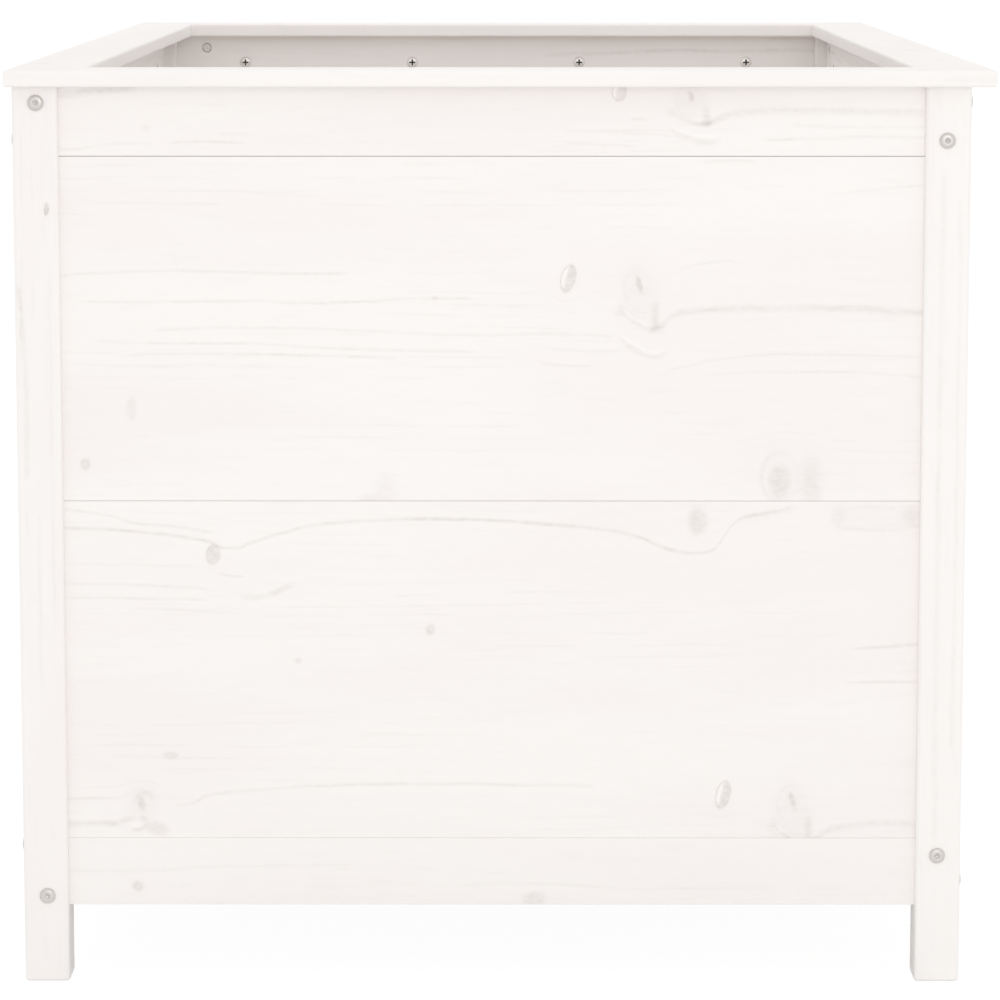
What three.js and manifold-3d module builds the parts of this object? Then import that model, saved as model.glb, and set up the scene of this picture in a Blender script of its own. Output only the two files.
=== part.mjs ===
// A raised planter in painted pine. Four square posts carry walls of two wide boards between a
// bottom and a top rail. Bolts through the posts pull the rails' ends tight with barrel nuts, the
// boards are held by tongues, a flat mitred rim lies on top, and a slatted floor hangs inside.
// Millimetres, +Z up. The short side seen in front faces -Y, the long sides run along Y, and the
// origin is on the ground under the middle of the rim.

import * as THREE from 'three';
import { mergeVertices } from 'three/addons/utils/BufferGeometryUtils.js';
import Module from 'manifold-3d';

const wasm = await Module();
wasm.setup();

// Box of posts and walls
const boxWidth = 800; // over the posts, along X
const boxLength = 1170; // over the posts, along Y
const postSize = 38;
const postEdgeRadius = 3;
const legHeight = 65.5; // ground to the bottom rails
const railHeight = 58.5;
const boardHeight = 291.75;
const boardRows = 2;
const wallThickness = 18;
const wallRecess = 7; // from the posts' outer faces back to the walls' outer faces
const seam = 0.8; // open line between one board and the next
const clearance = 0.3; // between two pieces that meet

// Tongues along the boards' upper edges, and tenons at their ends
const tongueThickness = 6;
const tongueHeight = 6;
const tenonLength = 6;

// Rim
const rimBoardWidth = 62;
const rimThickness = 14;
const rimOverhang = 12.5; // past the posts, before the shift
const rimShift = 7; // the rim lies this far to +X of the box under it
const rimEdgeRadius = 2;

// Bolts and their barrel nuts
const boltDiameter = 6;
const boltDepth = 20; // bolt axis, from the posts' outer faces
const headDiameter = 13.2;
const headHeight = 2.2;
const socketWidth = 5;
const socketDepth = 1.5;
const boltTip = 3; // past the nut
const tipChamfer = 0.6;
const nutDiameter = 10;
const nutLength = 13;
const nutSetback = 34; // nut axis, from the post's inner face
const nutSink = 0.5; // below the rail's inner face
const nutSlotWidth = 1.6;
const nutSlotDepth = 1.4;

// Bolt axes, from the upper or lower edge of their rail. Bolts that cross in a post differ.
const topBoltInset = 13.5;
const shortWallBolts = { bottomLow: 19.5, bottomHigh: 8 };
const longWallBolts = { bottomLow: 9.5, bottomHigh: 13.5 };

// Floor
const bearerSize = 22;
const bearerRise = 16.5; // above the bottom rails' lower edges
const floorBoards = 7;
const floorThickness = 14;
const floorGap = 6; // drains between the boards
const floorMargin = 3; // to the walls and posts

// Sizes that follow
const wallInnerFace = wallRecess + wallThickness;
const boxHeight = legHeight + 2 * railHeight + boardRows * boardHeight;
const bottomRailTop = legHeight + railHeight;
const topRailBottom = boxHeight - railHeight;
const boreRadius = boltDiameter / 2 + clearance;
const boltLength = clearance + postSize + nutSetback + nutDiameter / 2 + boltTip;
const bearerTop = legHeight + bearerRise + bearerSize;

const paint = new THREE.MeshStandardMaterial({ color: 0xf8f3f0, roughness: 0.6, metalness: 0 });
const floorPine = new THREE.MeshStandardMaterial({ color: 0xefe8e2, roughness: 0.7, metalness: 0 });
const steel = new THREE.MeshStandardMaterial({ color: 0xb9b9b7, roughness: 0.4, metalness: 0.9 });

// A profile drawn as (depth, height) and extruded comes out with its length along X, its depth
// along Y and its height along Z.
const alongX = new THREE.Matrix4().makeBasis(
  new THREE.Vector3(0, 1, 0),
  new THREE.Vector3(0, 0, 1),
  new THREE.Vector3(1, 0, 0),
);

function toSolid(geometry) {
  const bare = geometry.clone();
  bare.deleteAttribute('normal');
  bare.deleteAttribute('uv');
  const merged = mergeVertices(bare, 1e-4);
  return new wasm.Manifold(new wasm.Mesh({
    numProp: 3,
    vertProperties: new Float32Array(merged.attributes.position.array),
    triVerts: new Uint32Array(merged.index.array),
  }));
}

function toGeometry(solid) {
  const { vertProperties, triVerts } = solid.getMesh();
  const indexed = new THREE.BufferGeometry();
  indexed.setAttribute('position', new THREE.BufferAttribute(vertProperties, 3));
  indexed.setIndex(new THREE.BufferAttribute(triVerts, 1));
  const flat = indexed.toNonIndexed();
  flat.computeVertexNormals();
  return flat;
}

function extrude(shape, depth, curveSegments = 4) {
  return new THREE.ExtrudeGeometry(shape, { depth, bevelEnabled: false, curveSegments });
}

function polygon(points) {
  return new THREE.Shape(points.map(([x, y]) => new THREE.Vector2(x, y)));
}

function roundedRectangle(width, height, radius) {
  const quarter = Math.PI / 2;
  const shape = new THREE.Shape();
  shape.absarc(width - radius, radius, radius, -quarter, 0);
  shape.absarc(width - radius, height - radius, radius, 0, quarter);
  shape.absarc(radius, height - radius, radius, quarter, 2 * quarter);
  shape.absarc(radius, radius, radius, 2 * quarter, 3 * quarter);
  return shape;
}

// A block given by its lowest and highest corners
function block(low, high) {
  const size = high.map((value, axis) => value - low[axis]);
  const middle = high.map((value, axis) => (value + low[axis]) / 2);
  return toSolid(new THREE.BoxGeometry(...size).translate(...middle));
}

// A round rod from `start` along +X or +Y
function rod(start, axis, length, radius, sides) {
  const geometry = new THREE.CylinderGeometry(radius, radius, length, sides);
  geometry.translate(0, length / 2, 0);
  if (axis === 'x') geometry.rotateZ(-Math.PI / 2);
  return toSolid(geometry.translate(...start));
}

function piece(name, geometry, material, x, y, z) {
  const mesh = new THREE.Mesh(geometry, material);
  mesh.name = name;
  mesh.position.set(x, y, z);
  return mesh;
}

// Heights of the bolts in the rails of one wall, at its left and right ends seen from outside
function boltHeights({ bottomLow, bottomHigh }) {
  return {
    left: { top: topRailBottom + topBoltInset, bottom: bottomRailTop - bottomHigh },
    right: { top: boxHeight - topBoltInset, bottom: legHeight + bottomLow },
  };
}

// A post stands in the corner at the left end of one wall, with its outer corner at the origin.
// That wall runs off along X. The wall that ends here on its right runs off along Y.
function postGeometry(wallAlongX, wallAlongY) {
  const height = boxHeight - clearance;
  const grooveLow = wallRecess + (wallThickness - tongueThickness) / 2 - clearance;
  const grooveHigh = grooveLow + tongueThickness + 2 * clearance;
  const grooveFloor = postSize - tenonLength;
  const open = postSize + 1;
  const cuts = [
    block([grooveFloor, grooveLow, bottomRailTop], [open, grooveHigh, topRailBottom]),
    block([grooveLow, grooveFloor, bottomRailTop], [grooveHigh, open, topRailBottom]),
  ];
  for (const z of Object.values(boltHeights(wallAlongX.bolts).left)) {
    cuts.push(rod([-1, boltDepth, z], 'x', postSize + 2, boreRadius, 12));
  }
  for (const z of Object.values(boltHeights(wallAlongY.bolts).right)) {
    cuts.push(rod([boltDepth, -1, z], 'y', postSize + 2, boreRadius, 12));
  }
  const bar = toSolid(extrude(roundedRectangle(postSize, postSize, postEdgeRadius), height));
  return toGeometry(cuts.reduce((post, cut) => post.subtract(cut), bar));
}

// Section of a wall piece from its nominal lower edge: a groove below, a tongue above, or neither
function wallSection(height, { grooved, tongued }) {
  const tongueLow = (wallThickness - tongueThickness) / 2;
  const tongueHigh = tongueLow + tongueThickness;
  const bottom = grooved ? seam / 2 : 0;
  const top = tongued ? height - seam / 2 : height - clearance;
  const points = [[0, bottom]];
  if (grooved) {
    const grooveTop = bottom + tongueHeight - seam + clearance;
    points.push([tongueLow - clearance, bottom], [tongueLow - clearance, grooveTop]);
    points.push([tongueHigh + clearance, grooveTop], [tongueHigh + clearance, bottom]);
  }
  points.push([wallThickness, bottom], [wallThickness, top]);
  if (tongued) {
    points.push([tongueHigh, top], [tongueHigh, top + tongueHeight]);
    points.push([tongueLow, top + tongueHeight], [tongueLow, top]);
  }
  points.push([0, top]);
  return polygon(points);
}

// A rail lies between two posts. Each end is bored for a bolt, which meets a barrel nut let in
// from the inner face.
function railGeometry(length, joints, leftBolt, rightBolt) {
  const boreLength = nutSetback + nutDiameter / 2 + boltTip + clearance;
  const boreY = boltDepth - wallRecess;
  const pocketDepth = nutSink + nutLength + clearance;
  const pocketRadius = nutDiameter / 2 + clearance;
  const pocketX = nutSetback - clearance;
  const cuts = [
    rod([-1, boreY, leftBolt], 'x', boreLength + 1, boreRadius, 12),
    rod([length - boreLength, boreY, rightBolt], 'x', boreLength + 1, boreRadius, 12),
  ];
  for (const [x, z] of [[pocketX, leftBolt], [length - pocketX, rightBolt]]) {
    cuts.push(rod([x, wallThickness - pocketDepth, z], 'y', pocketDepth + 1, pocketRadius, 16));
  }
  const bar = toSolid(extrude(wallSection(railHeight, joints), length).applyMatrix4(alongX));
  return toGeometry(cuts.reduce((rail, cut) => rail.subtract(cut), bar));
}

// A wall board has a tenon at each end that stands in a post's groove.
function boardGeometry(length) {
  const joints = { grooved: true, tongued: true };
  const panel = toSolid(extrude(wallSection(boardHeight, joints), length).applyMatrix4(alongX));
  const low = (wallThickness - tongueThickness) / 2;
  const grooveTop = seam / 2 + tongueHeight;
  const tenon = block(
    [-tenonLength, low, grooveTop],
    [length + tenonLength, low + tongueThickness, boardHeight - seam / 2],
  );
  return toGeometry(panel.add(tenon));
}

// A bolt along +X, with its barrel nut on it. The origin is under the head, on the axis, and the
// nut's slotted end faces +Y.
function boltGeometry() {
  const headRadius = headDiameter / 2;
  const shankRadius = boltDiameter / 2;
  const section = [
    [0, -headHeight], [0.6 * headRadius, -headHeight], [0.86 * headRadius, -0.8 * headHeight],
    [headRadius, -0.4 * headHeight], [headRadius, 0], [shankRadius, 0],
    [shankRadius, boltLength - tipChamfer], [shankRadius - tipChamfer, boltLength], [0, boltLength],
  ];
  const turned = new THREE.LatheGeometry(section.map(([r, y]) => new THREE.Vector2(r, y)), 12);
  const nutX = clearance + postSize + nutSetback;
  const nutEnd = wallInnerFace - nutSink - boltDepth;
  const socket = rod([-headHeight - 1, 0, 0], 'x', socketDepth + 1, socketWidth / Math.sqrt(3), 6);
  const slot = block(
    [nutX - nutDiameter, nutEnd - nutSlotDepth, -nutSlotWidth / 2],
    [nutX + nutDiameter, nutEnd + 1, nutSlotWidth / 2],
  );
  const nut = rod([nutX, nutEnd - nutLength, 0], 'y', nutLength, nutDiameter / 2, 16);
  const bolt = toSolid(turned.rotateZ(-Math.PI / 2)).subtract(socket);
  return toGeometry(bolt.add(nut.subtract(slot)));
}

// A rim board with eased edges. Each end is mitred by moving its points in as they go from the
// outer edge to the inner one.
function rimGeometry(length) {
  const section = roundedRectangle(rimBoardWidth, rimThickness, rimEdgeRadius);
  const board = extrude(section, length, 3).applyMatrix4(alongX);
  const points = board.attributes.position;
  for (let i = 0; i < points.count; i += 1) {
    const inset = points.getY(i) + clearance / Math.SQRT2;
    points.setX(i, points.getX(i) < length / 2 ? inset : length - inset);
  }
  return toGeometry(toSolid(board));
}

// A floor board across the box. The first and last are notched round the posts.
function floorGeometry(length, width, notched) {
  const notchX = postSize - wallInnerFace;
  const notchY = postSize - wallInnerFace;
  const outline = notched
    ? [[notchX, 0], [length - notchX, 0], [length - notchX, notchY], [length, notchY],
      [length, width], [0, width], [0, notchY], [notchX, notchY]]
    : [[0, 0], [length, 0], [length, width], [0, width]];
  return extrude(polygon(outline), floorThickness);
}

// One side of the box, seen from outside along +Y: the post at its left end, its wall and bolts
function makeSide(side, nextLeft, bolt) {
  const group = new THREE.Group();
  const { name, post, span, depth } = side;
  const length = span - 2 * (postSize + clearance);
  const heights = boltHeights(side.bolts);
  const wallX = -length / 2;
  const wallY = -depth / 2 + wallRecess;
  const boltY = -depth / 2 + boltDepth;

  group.add(piece(post, postGeometry(side, nextLeft), paint, -span / 2, -depth / 2, 0));

  for (const [place, z, joints] of [
    ['bottom', legHeight, { grooved: false, tongued: true }],
    ['top', topRailBottom, { grooved: true, tongued: false }],
  ]) {
    const rail = railGeometry(length, joints, heights.left[place] - z, heights.right[place] - z);
    group.add(piece(`${name}_${place}_rail`, rail, paint, wallX, wallY, z));

    const leftBolt = piece(`${name}_${place}_bolt_left`, bolt, steel,
      -span / 2 - clearance, boltY, heights.left[place]);
    const rightBolt = piece(`${name}_${place}_bolt_right`, bolt, steel,
      span / 2 + clearance, boltY, heights.right[place]);
    rightBolt.rotation.y = Math.PI;
    group.add(leftBolt, rightBolt);
  }

  const board = boardGeometry(length);
  for (let row = 0; row < boardRows; row += 1) {
    const z = bottomRailTop + row * boardHeight;
    group.add(piece(`${name}_board_${row + 1}`, board, paint, wallX, wallY, z));
  }

  if (side.bearer) {
    const bearer = new THREE.BoxGeometry(length, bearerSize, bearerSize);
    const y = -depth / 2 + wallInnerFace + clearance + bearerSize / 2;
    group.add(piece(`floor_bearer_${name}`, bearer, floorPine, 0, y, bearerTop - bearerSize / 2));
  }
  return group;
}

function makeBox() {
  const box = new THREE.Group();
  const short = { span: boxWidth, depth: boxLength, bolts: shortWallBolts, bearer: false };
  const long = { span: boxLength, depth: boxWidth, bolts: longWallBolts, bearer: true };
  const sides = [
    { name: 'front', post: 'post_front_left', ...short },
    { name: 'right', post: 'post_front_right', ...long },
    { name: 'rear', post: 'post_rear_right', ...short },
    { name: 'left', post: 'post_rear_left', ...long },
  ];
  const bolt = boltGeometry();
  sides.forEach((side, turn) => {
    const group = makeSide(side, sides[(turn + 3) % 4], bolt);
    group.rotation.z = turn * Math.PI / 2;
    box.add(group);
  });
  return box;
}

function makeFloor() {
  const floor = new THREE.Group();
  const length = boxWidth - 2 * (wallInnerFace + floorMargin);
  const reach = boxLength - 2 * (wallInnerFace + floorMargin);
  const width = (reach - (floorBoards - 1) * floorGap) / floorBoards;
  for (let i = 0; i < floorBoards; i += 1) {
    const last = i === floorBoards - 1;
    const geometry = floorGeometry(length, width, i === 0 || last);
    const low = -reach / 2 + i * (width + floorGap);
    const board = piece(`floor_board_${i + 1}`, geometry, floorPine,
      last ? length / 2 : -length / 2, last ? low + width : low, bearerTop + clearance);
    board.rotation.z = last ? Math.PI : 0;
    floor.add(board);
  }
  return floor;
}

function makeRim() {
  const rim = new THREE.Group();
  const width = boxWidth + 2 * rimOverhang;
  const length = boxLength + 2 * rimOverhang;
  [['rim_front', width, length], ['rim_right', length, width],
    ['rim_rear', width, length], ['rim_left', length, width]].forEach(([name, span, depth], turn) => {
    const group = new THREE.Group();
    group.rotation.z = turn * Math.PI / 2;
    group.add(piece(name, rimGeometry(span), paint, -span / 2, -depth / 2, boxHeight));
    rim.add(group);
  });
  return rim;
}

const planter = new THREE.Group();
const box = makeBox();
box.add(makeFloor());
box.position.x = -rimShift;
planter.add(box, makeRim());

export default planter;
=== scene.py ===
# A raised planter in white painted pine: four square posts, walls of two wide boards between
# rails, a flat mitred rim and a slatted floor. Metres, +Z up, the short side in front faces -Y.

import math
from collections import namedtuple

import bmesh
import bpy
import numpy as np
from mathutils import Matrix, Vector


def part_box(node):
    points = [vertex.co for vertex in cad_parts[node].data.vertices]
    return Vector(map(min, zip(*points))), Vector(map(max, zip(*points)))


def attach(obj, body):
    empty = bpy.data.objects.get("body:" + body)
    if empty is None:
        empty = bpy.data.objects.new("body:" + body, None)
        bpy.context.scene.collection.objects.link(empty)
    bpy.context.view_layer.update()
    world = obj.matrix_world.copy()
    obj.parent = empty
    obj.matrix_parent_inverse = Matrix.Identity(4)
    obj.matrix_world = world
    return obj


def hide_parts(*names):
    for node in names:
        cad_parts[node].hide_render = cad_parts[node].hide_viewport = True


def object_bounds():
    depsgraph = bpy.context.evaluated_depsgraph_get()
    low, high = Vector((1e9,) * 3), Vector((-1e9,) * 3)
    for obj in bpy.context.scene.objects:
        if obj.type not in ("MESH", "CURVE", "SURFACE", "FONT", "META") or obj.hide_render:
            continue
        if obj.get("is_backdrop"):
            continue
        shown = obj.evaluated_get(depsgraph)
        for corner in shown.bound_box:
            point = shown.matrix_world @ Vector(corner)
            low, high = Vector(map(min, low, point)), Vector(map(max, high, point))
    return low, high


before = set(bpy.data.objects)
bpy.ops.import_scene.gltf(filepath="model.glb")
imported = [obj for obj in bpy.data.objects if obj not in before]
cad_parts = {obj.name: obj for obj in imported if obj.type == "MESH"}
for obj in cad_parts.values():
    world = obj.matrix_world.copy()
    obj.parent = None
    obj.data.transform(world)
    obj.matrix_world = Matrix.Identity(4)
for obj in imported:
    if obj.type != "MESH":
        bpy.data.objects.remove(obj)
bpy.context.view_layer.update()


# ---------------------------------------------------------------- Posts
# Four square pine posts, which are also the feet. They are planed, their long edges are rounded
# with a router, and each is grooved for the boards' tenons and bored for four bolts, then painted.

corner_low = np.array(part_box("post_front_left")[0])
corner_high = np.array(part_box("post_rear_right")[1])
UP = np.array((0.0, 0.0, 1.0))
# Each wall seen from outside: its left corner on the ground, the way along it and the way inwards
WALLS = {
    "front": ((corner_low[0], corner_low[1], 0), (1, 0, 0), (0, 1, 0)),
    "right": ((corner_high[0], corner_low[1], 0), (0, 1, 0), (-1, 0, 0)),
    "rear": ((corner_high[0], corner_high[1], 0), (-1, 0, 0), (0, -1, 0)),
    "left": ((corner_low[0], corner_high[1], 0), (0, -1, 0), (1, 0, 0)),
}
POSTS = {"front": "front_left", "right": "front_right", "rear": "rear_right", "left": "rear_left"}
SPANS = dict(zip(WALLS, [corner_high[0] - corner_low[0], corner_high[1] - corner_low[1]] * 2))

post_size = 0.038
post_edge = 0.003
post_foot_ease = 0.0016
post_top_ease = 0.0002
post_height = corner_high[2]
wall_recess = 0.007
wall_thickness = 0.018
wall_inner = wall_recess + wall_thickness
seam = 0.0008
clearance = 0.0003
tongue_thickness = 0.006
tongue_height = 0.006
tenon_length = 0.006
bolt_depth = 0.020
bolt_radius = 0.003
past = 0.001  # how far a cutter goes past the wood
weld = 1e-7  # points nearer than this are one point

# Heights where one row of the walls meets the next
joints = [
    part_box("front_bottom_rail")[0].z,
    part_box("front_board_1")[0].z - seam / 2,
    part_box("front_board_2")[0].z - seam / 2,
    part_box("front_top_rail")[0].z - seam / 2,
    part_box("front_top_rail")[1].z + clearance,
]

MM = 0.001
PAINT_CREAM = (0.955, 0.924, 0.899)
PAINT_PINK = (0.938, 0.899, 0.876)
PAINT_SHADE = (0.550, 0.500, 0.462)


def stand(side, points):
    """Carries points given as (along the wall, inwards, up) from that wall's corner to the ground
    plan of the whole planter: corner + along * first + inwards * second + up * third."""
    start, along, inwards = (np.array(v, float) for v in WALLS[side])
    return start + points[..., :1] * along + points[..., 1:2] * inwards + points[..., 2:] * UP


def skin(name, rings):
    """Closed mesh through rings of points, an array of (stations, points in a ring, 3). Each ring
    is joined to the next by quads, and the first and last rings are filled."""
    stations, count, _ = rings.shape
    index = np.arange(stations * count).reshape(stations, count)
    here, ahead = index[:-1], index[1:]
    quads = np.stack([here, np.roll(here, -1, 1), np.roll(ahead, -1, 1), ahead], -1)
    ends = [index[0, ::-1].tolist(), index[-1].tolist()]
    mesh = bpy.data.meshes.new(name)
    mesh.from_pydata(rings.reshape(-1, 3).tolist(), [], quads.reshape(-1, 4).tolist() + ends)
    form = bmesh.new()
    form.from_mesh(mesh)
    bmesh.ops.remove_doubles(form, verts=form.verts, dist=weld)
    bmesh.ops.recalc_face_normals(form, faces=form.faces)
    form.to_mesh(mesh)
    form.free()
    piece = bpy.data.objects.new(name, mesh)
    bpy.context.scene.collection.objects.link(piece)
    return piece


def ease(outline, reach, steps=4):
    """Rounds the corners of a closed outline. Each corner gives way to a parabola that leaves the
    two edges at `reach` from it: corner + (1-t)^2 * way back + t^2 * way ahead, t from 0 to 1."""
    outline = np.asarray(outline, float)
    reach = np.broadcast_to(reach, len(outline))[:, None]
    back = np.roll(outline, 1, 0) - outline
    ahead = np.roll(outline, -1, 0) - outline
    back = back * reach / np.linalg.norm(back, axis=1, keepdims=True)
    ahead = ahead * reach / np.linalg.norm(ahead, axis=1, keepdims=True)
    t = np.linspace(0, 1, steps + 1)[None, :, None]
    curve = outline[:, None] + (1 - t) ** 2 * back[:, None] + t ** 2 * ahead[:, None]
    return curve.reshape(-1, 2)


def rounded_square(inset):
    """The post's section drawn in by `inset`: corners plus a quarter circle of what is left of
    the edge radius, as (cos, sin) of nine angles each."""
    radius = post_edge - inset
    middle = np.array([post_size / 2, post_size / 2])
    centre = post_size / 2 - inset - radius
    turn = np.arange(4)[:, None] * math.pi / 2 + np.linspace(0, math.pi / 2, 9)[None]
    quadrant = np.array([(1, 1), (-1, 1), (-1, -1), (1, -1)])[:, None] * centre
    arcs = quadrant + radius * np.stack([np.cos(turn), np.sin(turn)], -1)
    return middle + arcs.reshape(-1, 2)


def rod(start, end, radius, sides=32):
    """A round rod between two points: a circle of `sides` points in the plane square to it,
    carried from one end to the other."""
    start, end = np.array(start, float), np.array(end, float)
    way = (end - start) / np.linalg.norm(end - start)
    standing = abs(way[2]) > 0.9
    across = np.cross(way, (1, 0, 0) if standing else UP)
    across /= np.linalg.norm(across)
    angle = np.arange(sides)[:, None] * 2 * math.pi / sides
    circle = radius * (np.cos(angle) * across + np.sin(angle) * np.cross(way, across))
    return skin("cutter", np.stack([start + circle, end + circle]))


def block(low, high):
    """A box between two corners: its rectangle at the lowest height, carried to the highest."""
    corners = np.array([(low[0], low[1]), (high[0], low[1]), (high[0], high[1]), (low[0], high[1])])
    rings = [np.column_stack([corners, np.full(4, z)]) for z in (low[2], high[2])]
    return skin("cutter", np.stack(rings))


def settle(piece):
    """Makes the piece's modifiers part of its mesh."""
    bpy.context.view_layer.update()
    shaped = piece.evaluated_get(bpy.context.evaluated_depsgraph_get())
    mesh = bpy.data.meshes.new_from_object(shaped)
    mesh.name = piece.name
    piece.modifiers.clear()
    piece.data = mesh


def cut(piece, cutters):
    """Takes each cutter out of the piece and clears it away."""
    for cutter in cutters:
        step = piece.modifiers.new("cut", "BOOLEAN")
        step.operation = "DIFFERENCE"
        step.solver = "EXACT"
        step.object = cutter
    settle(piece)
    for cutter in cutters:
        bpy.data.objects.remove(cutter)


def axis_height(node):
    """Height of a fastener's axis, the middle of its box."""
    low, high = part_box(node)
    return (low.z + high.z) / 2


class Finish:
    """A material written as formulas: its methods add nodes and hand on what these give."""

    def __init__(self, name):
        self.material = bpy.data.materials.new(name)
        self.material.use_nodes = True
        self.tree = self.material.node_tree
        self.shader = self.tree.nodes["Principled BSDF"]

    def node(self, kind, *inputs, out=0, **settings):
        """Adds a node. Each input in turn is a result to link, a value to set, or None."""
        node = self.tree.nodes.new(kind)
        for key, value in settings.items():
            setattr(node, key, value)
        for socket, value in zip(node.inputs, inputs):
            if isinstance(value, bpy.types.NodeSocket):
                self.tree.links.new(value, socket)
            elif value is not None:
                socket.default_value = value
        return node.outputs[out]

    def math(self, operation, a, b=0.0, c=None):
        """One step of reckoning, such as ADD or MULTIPLY."""
        return self.node("ShaderNodeMath", a, b, c, operation=operation)

    def ramp(self, value, start, end, low=0.0, high=1.0):
        """Goes smoothly from low, where value is start, to high, where it is end."""
        return self.node("ShaderNodeMapRange", value, start, end, low, high,
                         interpolation_type="SMOOTHSTEP")

    def band(self, value, middle, half_width):
        """1 where value is middle, falling smoothly to 0 at half_width on either side."""
        away = self.math("ABSOLUTE", self.math("SUBTRACT", value, middle))
        return self.ramp(away, 0.0, half_width, 1.0, 0.0)

    def noise(self, place, stretch, detail=2.0, roughness=0.5, offset=0.0, out=0):
        """Smooth noise from 0 to 1, with `stretch` waves to the metre along each axis."""
        moved = self.node("ShaderNodeMapping", place, (offset, offset * 0.7, offset * 1.3),
                          None, stretch)
        return self.node("ShaderNodeTexNoise", moved, None, 1.0, detail, roughness, out=out)

    def mix(self, factor, a, b):
        """Colour a where factor is 0 and b where it is 1, and a little beyond a below 0."""
        node = self.tree.nodes.new("ShaderNodeMix")
        node.data_type = "RGBA"
        node.clamp_factor = False
        self.tree.links.new(factor, node.inputs[0])
        for socket, colour in ((node.inputs[6], a), (node.inputs[7], b)):
            if isinstance(colour, bpy.types.NodeSocket):
                self.tree.links.new(colour, socket)
            else:
                socket.default_value = (*colour, 1)
        return node.outputs[2]

    def bump(self, height, strength, distance):
        """Lets the surface rise with height, as far as distance at full strength."""
        bump = self.tree.nodes.new("ShaderNodeBump")
        bump.inputs["Strength"].default_value = strength
        bump.inputs["Distance"].default_value = distance
        self.tree.links.new(height, bump.inputs["Height"])
        self.link(bump.outputs[0], "Normal")

    def link(self, value, socket):
        """Gives a result to one of the shader's sockets."""
        self.tree.links.new(value, self.shader.inputs[socket])


def lie(paint, grain):
    """Object coordinates put in the board's own order: along the grain, across it on the face that
    shows, and through the board. `grain` names the three axes, such as "XZY"."""
    place = paint.node("ShaderNodeTexCoord", out=3)
    split = paint.tree.nodes.new("ShaderNodeSeparateXYZ")
    paint.tree.links.new(place, split.inputs[0])
    axes = [split.outputs["XYZ".index(letter)] for letter in grain]
    return paint.node("ShaderNodeCombineXYZ", *axes)


Knot = namedtuple("Knot", "at half tilt core rim soft lit", defaults=(0.0, 0.5, 0.0, 0.3, 0.0))
Streak = namedtuple("Streak", "route width dark lit", defaults=(1.5, 0.2, 0.0))

# How a knot is drawn, in shares of its half axes from its middle: how far it pulls the grain, the
# fill and the painted highlight and shade of one that stands proud, and the line round its edge
knot_pull = 1.5
fill_start, fill_whole = -0.5, 0.05
crescent_middle, crescent_half = -0.55, 0.3
crescent_fade = 0.75
edge_middle, edge_half = 0.97, 0.2
edge_weak, edge_strong, edge_least = 0.7, -0.5, 0.4

# How a streak is drawn: its painted highlight's place and half width in shares of the streak's
# width, the length over which it fades at its ends, and room around its route
bright_offset, bright_half = 1.1, 0.7
streak_fade = 0.012
route_margin = 1e-4


def parts(paint, place):
    """The three coordinates of a place, as numbers."""
    split = paint.tree.nodes.new("ShaderNodeSeparateXYZ")
    paint.tree.links.new(place, split.inputs[0])
    return split.outputs


def knot(paint, place, mark):
    """A knot is an ellipse in millimetres, and distance over half axis is 1 on its edge. `core`
    fills it and fades over `soft` at the edge, and `rim` draws the edge, strongest on the left.
    With `lit`, light and shade are painted as on a knot that stands a little proud: the fill
    keeps to the right as painted shade, and a bright crescent, a painted highlight, lies left of
    it. Returns the shade, and the pull exp(-(distance / knot_pull)^2)."""
    inside = paint.node("ShaderNodeMapping", place, (mark.at[0] * MM, mark.at[1] * MM, 0),
                        (0, 0, math.radians(mark.tilt)),
                        (mark.half[0] * MM, mark.half[1] * MM, 1e3), vector_type="TEXTURE")
    away = paint.node("ShaderNodeVectorMath", inside, operation="LENGTH", out=1)
    side = parts(paint, inside)[0]
    shade = paint.ramp(away, 1 - mark.soft, 1 + mark.soft, mark.core, 0.0)
    # Painted highlight and shade: fill kept to the right, a bright crescent on the left
    if mark.lit:
        shade = paint.math("MULTIPLY", shade, paint.ramp(side, fill_start, fill_whole))
        within = paint.ramp(away, crescent_fade, 1.0, mark.lit, 0.0)
        crescent = paint.band(side, crescent_middle, crescent_half)
        bright = paint.math("MULTIPLY", crescent, within)
        shade = paint.math("SUBTRACT", shade, bright)
    if mark.rim:
        strength = paint.ramp(side, edge_weak, edge_strong, edge_least * mark.rim, mark.rim)
        edge = paint.math("MULTIPLY", paint.band(away, edge_middle, edge_half), strength)
        shade = paint.math("ADD", shade, edge)
    spread = paint.math("POWER", paint.math("DIVIDE", away, knot_pull), 2.0)
    return shade, paint.math("EXPONENT", paint.math("MULTIPLY", spread, -1.0))


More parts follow.
